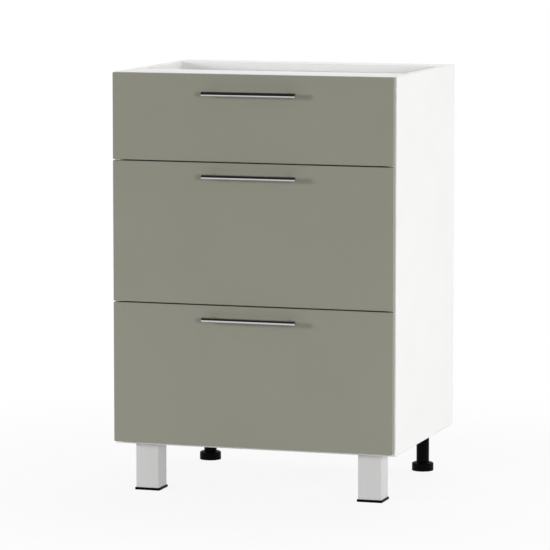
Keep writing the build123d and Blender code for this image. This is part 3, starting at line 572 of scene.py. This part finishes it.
# --- Handles -------------------------------------------------------------------------------------
# A round steel bar on two round posts, chrome plated and polished. Screws through the front hold
# the posts, and the bar's ends are turned flat with a small rounded edge.
def finish_mesh(name, bm, place):
    """A smooth-shaded object from a mesh in the making, with its place in its vertices."""
    sharp_angle = math.radians(40)
    bmesh.ops.recalc_face_normals(bm, faces=bm.faces)
    mesh = bpy.data.meshes.new(name)
    bm.to_mesh(mesh)
    bm.free()
    mesh.transform(place)
    mesh.polygons.foreach_set("use_smooth", [True] * len(mesh.polygons))
    mesh.set_sharp_from_angle(angle=sharp_angle)
    made = bpy.data.objects.new(name, mesh)
    scene.collection.objects.link(made)
    return made


def turned(name, outline, place, steps=96, relief_at=None, ring=False):
    """A turned piece from (radius, height) points along its outline, in metres. A radius of
    nothing closes an end. With ring the last point joins the first. relief_at gives a depth that
    is taken off the radius at an angle, height and radius."""
    bm = bmesh.new()
    rows = []
    for radius, height in outline:
        count = steps if radius else 1
        row = []
        for step in range(count):
            angle = math.tau * step / steps
            r = radius - (relief_at(angle, height, radius) if relief_at and radius else 0)
            row.append(bm.verts.new((r * math.cos(angle), r * math.sin(angle), height)))
        rows.append(row)
    pairs = list(zip(rows, rows[1:] + rows[:1])) if ring else list(zip(rows, rows[1:]))
    for low, high in pairs:
        for step in range(steps):
            after = (step + 1) % steps
            corners = [low[step % len(low)], low[after % len(low)]]
            corners += [high[after % len(high)], high[step % len(high)]]
            bm.faces.new(list(dict.fromkeys(corners)))
    return finish_mesh(name, bm, place)


def rounded_edge(radius, height, edge, upward, steps=5):
    """Points of a quarter round between a turned piece's end face, at a height, and its wall.
    upward is 1 at a lower end, and -1 at an upper one, whose points run from wall to face."""
    points = []
    for step in range(steps + 1):
        angle = math.pi / 2 * step / steps
        rise = upward * edge * (1 - math.cos(angle))
        points.append((radius - edge + edge * math.sin(angle), height + rise))
    return points if upward > 0 else points[::-1]


def joined(name, *pieces):
    """One object out of several."""
    bm = bmesh.new()
    for piece in pieces:
        bm.from_mesh(piece.data)
        bpy.data.objects.remove(piece)
    return finish_mesh(name, bm, Matrix.Identity(4))


chrome_tones = (grey(0.56), (0.62, 0.62, 0.63, 1))
chrome_roughness = 0.05
buffing_roughness = 0.05
smudge_edge = (0.62, 1.0)  # levels of the clouds between which a finger mark fades in
smudge_roughness = 0.10
chrome, tree, shader, point = new_finish("chrome")
shader.inputs["Metallic"].default_value = 1
buffed = vary(tree, point, grain=0.0004, stretch=(0.05, 1, 1))
smudge = ramp(tree, vary(tree, point, grain=0.018), *smudge_edge, high=smudge_roughness)
feed(tree, shader, Base_Color=blend_colour(tree, buffed, *chrome_tones))
buffing = calc(tree, "MULTIPLY", buffed, buffing_roughness)
handled = calc(tree, "ADD", smudge, chrome_roughness)
feed(tree, shader, Roughness=calc(tree, "ADD", buffing, handled))
relief(tree, shader, buffed, depth=0.000002)

bar_edge = 0.0008
post_edge = 0.0004
for tier in tiers:
    bar_low, bar_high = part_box(f"handle_bar_{tier}")
    bar_middle = (bar_low + bar_high) / 2
    bar_radius = (bar_high.z - bar_low.z) / 2
    bar_half = (bar_high.x - bar_low.x) / 2
    outline = [(0, -bar_half), *rounded_edge(bar_radius, -bar_half, bar_edge, 1)]
    outline += [*rounded_edge(bar_radius, bar_half, bar_edge, -1), (0, bar_half)]
    lengthwise = Matrix.Translation(bar_middle) @ Matrix.Rotation(math.pi / 2, 4, "Y")
    bar = turned(f"handle_bar_{tier}_polished", outline, lengthwise)

    post_low, post_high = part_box(f"handle_posts_{tier}")
    post_radius = (post_high.z - post_low.z) / 2
    post_length = post_high.y - bar_middle.y
    outline = [(0, 0), *rounded_edge(post_radius, 0, post_edge, 1), (post_radius, post_length)]
    outline += [(0, post_length)]
    forward = Matrix.Rotation(math.pi / 2, 4, "X")
    posts = []
    for x in (post_low.x + post_radius, post_high.x - post_radius):
        place = Matrix.Translation((x, post_high.y, bar_middle.z)) @ forward
        posts.append(turned("post", outline, place, steps=64))
    pair = joined(f"handle_posts_{tier}_polished", *posts)
    for piece, node in ((bar, f"handle_bar_{tier}"), (pair, f"handle_posts_{tier}")):
        piece.data.materials.append(chrome)
        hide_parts(node)
        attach(piece, f"drawer_{tier}")


# --- Front legs ----------------------------------------------------------------------------------
# Square aluminium tubes in satin silver lacquer, pushed over cast mounts under the carcass and held
# by a set screw. A plate of black plastic on a threaded steel stud makes the foot.
def square_ring(half, corner, height, per_corner=8):
    """Points around a square with rounded corners, at one height."""
    points = []
    for turn in range(4):
        diagonal = math.pi / 4 + turn * math.pi / 2
        x = math.copysign(half - corner, math.cos(diagonal))
        y = math.copysign(half - corner, math.sin(diagonal))
        for step in range(per_corner + 1):
            angle = math.pi / 2 * (turn + step / per_corner)
            points.append((x + corner * math.cos(angle), y + corner * math.sin(angle), height))
    return points


def round_ring(radius, height, like):
    """Points around a circle, in the directions of another ring's points."""
    points = []
    for x, y, _ in like:
        away = math.hypot(x, y)
        points.append((radius * x / away, radius * y / away, height))
    return points


def stacked(name, rings, place, ring=False):
    """A piece skinned over rings of points. Its ends are closed, or with ring the last ring joins
    the first."""
    bm = bmesh.new()
    rows = [[bm.verts.new(point) for point in points] for points in rings]
    pairs = list(zip(rows, rows[1:] + rows[:1])) if ring else list(zip(rows, rows[1:]))
    for low, high in pairs:
        for step in range(len(low)):
            after = (step + 1) % len(low)
            bm.faces.new((low[step], low[after], high[after], high[step]))
    if not ring:
        bm.faces.new(rows[0])
        bm.faces.new(rows[-1])
    return finish_mesh(name, bm, place)


def thread(pitch, thread_depth):
    """The depth of a screw thread's groove at an angle and height."""

    def groove(angle, height, radius):
        turn_share = (height / pitch - angle / math.tau) % 1
        return thread_depth * abs(2 * turn_share - 1)

    return groove


def thread_outline(radius, low, high, pitch, per_pitch=8):
    """Rows close enough together to carry a thread."""
    rows = math.ceil((high - low) / pitch * per_pitch)
    return [(radius, low + (high - low) * row / rows) for row in range(rows + 1)]


silver_tones = ((0.60, 0.605, 0.60, 1), (0.68, 0.68, 0.675, 1))
silver_metal = 0.2
drawn_low = 0.97  # the darkest drawing line, as a share of the colour
drawn_rise = 0.05
silver, tree, shader, point = new_finish("silver_lacquer")
flake = vary(tree, point, grain=0.00035)
drawn = vary(tree, point, grain=0.0008, stretch=(1, 1, 0.02))
shader.inputs["Metallic"].default_value = silver_metal
drawn_level = calc(tree, "ADD", drawn_low, calc(tree, "MULTIPLY", drawn, drawn_rise))
flaked = blend_colour(tree, flake, *silver_tones)
feed(tree, shader, Base_Color=scaled(tree, flaked, drawn_level))
feed(tree, shader, Roughness=vary(tree, point, grain=0.0010, low=0.36, high=0.46))
relief(tree, shader, drawn, depth=0.00001)

black_tone = (0.0025, 0.0025, 0.0027)
black_scuff_tone = 0.008
black_gloss = 0.04
black_plastic, tree, shader, point = new_finish("black_plastic")
scuffs = mark(tree, point, length=0.008, amount=0.5)
black = scaled(tree, black_tone, vary(tree, point, grain=0.004, low=0.8, high=1.2))
feed(tree, shader, Base_Color=blend_colour(tree, scuffs, black, grey(black_scuff_tone)))
satin = vary(tree, point, grain=0.0015, low=0.40, high=0.52)
feed(tree, shader, Roughness=calc(tree, "ADD", satin, scuffs))
shader.inputs["Specular IOR Level"].default_value = black_gloss
relief(tree, shader, vary(tree, point, grain=0.0006), depth=0.00004)

dress(die_cast, "front_leg_mounts")
tube_wall = 0.002
tube_corner = 0.0025
tube_edge = 0.0004
plug_height = 0.004
boss_radius = 0.011
boss_height = 0.015
stud_radius = 0.005
stud_play = 0.00005
stud_pitch = 0.0015
stud_groove = 0.0009
plate_corner = 0.002
plate_edge = 0.0008
for hand in hands:
    body = f"front_foot_{hand}"
    low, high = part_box(f"front_leg_{hand}")
    half = (high.x - low.x) / 2
    centre = Matrix.Translation(((low.x + high.x) / 2, (low.y + high.y) / 2, 0))
    outer = square_ring(half, tube_corner, low.z)
    bore_radius = stud_radius + stud_play
    inner_corner = tube_corner - tube_wall
    inner_half = half - tube_wall
    plug_top = low.z + plug_height
    boss_top = plug_top + boss_height
    rings = [
        round_ring(bore_radius, boss_top, outer),
        round_ring(bore_radius, low.z, outer),
        square_ring(half - tube_edge, tube_corner - tube_edge, low.z),
        square_ring(half, tube_corner, low.z + tube_edge),
        square_ring(half, tube_corner, high.z - tube_edge),
        square_ring(half - tube_edge, tube_corner - tube_edge, high.z),
        square_ring(inner_half, inner_corner, high.z),
        square_ring(inner_half, inner_corner, plug_top),
        round_ring(boss_radius, plug_top, outer),
        round_ring(boss_radius, boss_top, outer),
    ]
    tube = stacked(f"front_leg_{hand}_tube", rings, centre, ring=True)
    tube.data.materials.append(silver)
    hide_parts(f"front_leg_{hand}")
    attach(tube, "carcass")

    foot_low, foot_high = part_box(body)
    plate_half = (foot_high.x - foot_low.x) / 2
    plate_top = low.z
    rings = [
        square_ring(plate_half - plate_edge / 2, plate_corner - plate_edge / 2, 0),
        square_ring(plate_half, plate_corner, plate_edge / 2),
        square_ring(plate_half, plate_corner, plate_top - plate_edge),
        square_ring(plate_half - plate_edge / 3, plate_corner, plate_top - plate_edge / 3),
        square_ring(plate_half - plate_edge, plate_corner, plate_top),
    ]
    plate = stacked(f"front_foot_{hand}_plate", rings, centre)
    plate.data.materials.append(black_plastic)
    rows = thread_outline(stud_radius, plate_top / 2, foot_high.z, stud_pitch)
    outline = [(0, plate_top / 2), *rows, (0, foot_high.z)]
    groove = thread(stud_pitch, stud_groove)
    stud = turned(f"front_foot_{hand}_stud", outline, centre, steps=48, relief_at=groove)
    stud.data.materials.append(plated)
    for piece in (plate, stud):
        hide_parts(body)
        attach(piece, body)

# --- Rear legs -----------------------------------------------------------------------------------
# Black plastic shafts pushed up into sockets screwed under the carcass. A wide foot with a low cone
# and grip notches turns on a coarse moulded thread to level the cabinet.
dress(black_plastic, *[f"rear_leg_socket_{hand}" for hand in hands])
shaft_edge = 0.0005
seam_width = 0.035  # radians of the moulding's parting lines
seam_groove = 0.00012
foot_pitch = 0.003
foot_groove = 0.0013
foot_play = 0.00005
foot_spindle = 0.008
cone_top = 0.019
cone_height = 0.0015
rim_edge = 0.001
notches = 12
notch_radius = 0.0015
notch_height = 0.004
notch_step = 0.0001
notch_reach = rim_edge * 1.01  # in from the rim, a little past the whole of its rounded edge


def parting_line(angle, height, radius):
    """A fine groove down each side of the shaft, where the mould's halves meet."""
    off = abs((angle + math.pi / 2) % math.pi - math.pi / 2)
    return seam_groove * max(0.0, 1 - off / seam_width)


def grip_notch(angle, height, radius):
    """Round notches up from the lower rim of the foot."""
    if height > notch_height or radius < rim_radius - notch_reach:
        return 0.0
    pitch = math.tau / notches
    off = abs((angle + pitch / 2) % pitch - pitch / 2) * radius
    if off >= notch_radius:
        return 0.0
    return math.sqrt(notch_radius**2 - off**2)


for hand in hands:
    body = f"rear_foot_{hand}"
    low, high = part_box(f"rear_leg_shaft_{hand}")
    foot_low, foot_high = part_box(body)
    centre = Matrix.Translation(((low.x + high.x) / 2, (low.y + high.y) / 2, 0))
    shaft_radius = (high.x - low.x) / 2
    bore = foot_spindle + foot_play
    outline = [(bore, high.z), (bore, low.z), *rounded_edge(shaft_radius, low.z, shaft_edge, 1)]
    outline += rounded_edge(shaft_radius, high.z, shaft_edge, -1)
    shaft = turned(
        f"rear_leg_{hand}_shaft", outline, centre, steps=180, relief_at=parting_line, ring=True
    )
    shaft.data.materials.append(black_plastic)
    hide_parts(f"rear_leg_shaft_{hand}")
    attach(shaft, "carcass")

    rim_radius = (foot_high.x - foot_low.x) / 2
    foot_top = low.z
    outline = [(0, 0), *rounded_edge(rim_radius, 0, rim_edge, 1)]
    outline += [(rim_radius, notch_height), (rim_radius, notch_height + notch_step)]
    outline += rounded_edge(rim_radius, foot_top - cone_height, rim_edge, -1)
    outline += [(cone_top, foot_top), (0, foot_top)]
    disc = turned(f"rear_foot_{hand}_disc", outline, centre, steps=360, relief_at=grip_notch)
    rows = thread_outline(foot_spindle, foot_top / 2, foot_high.z, foot_pitch)
    outline = [(0, foot_top / 2), *rows, (0, foot_high.z)]
    groove = thread(foot_pitch, foot_groove)
    spindle = turned(f"rear_foot_{hand}_spindle", outline, centre, steps=64, relief_at=groove)
    for piece in (disc, spindle):
        piece.data.materials.append(black_plastic)
        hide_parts(body)
        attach(piece, body)

# --- Leg screws ----------------------------------------------------------------------------------
# Plated pan-head screws up through the mounts and sockets into the bottom board, and a headless set
# screw through the rear wall of each front leg.
dress(plated, "leg_screws")
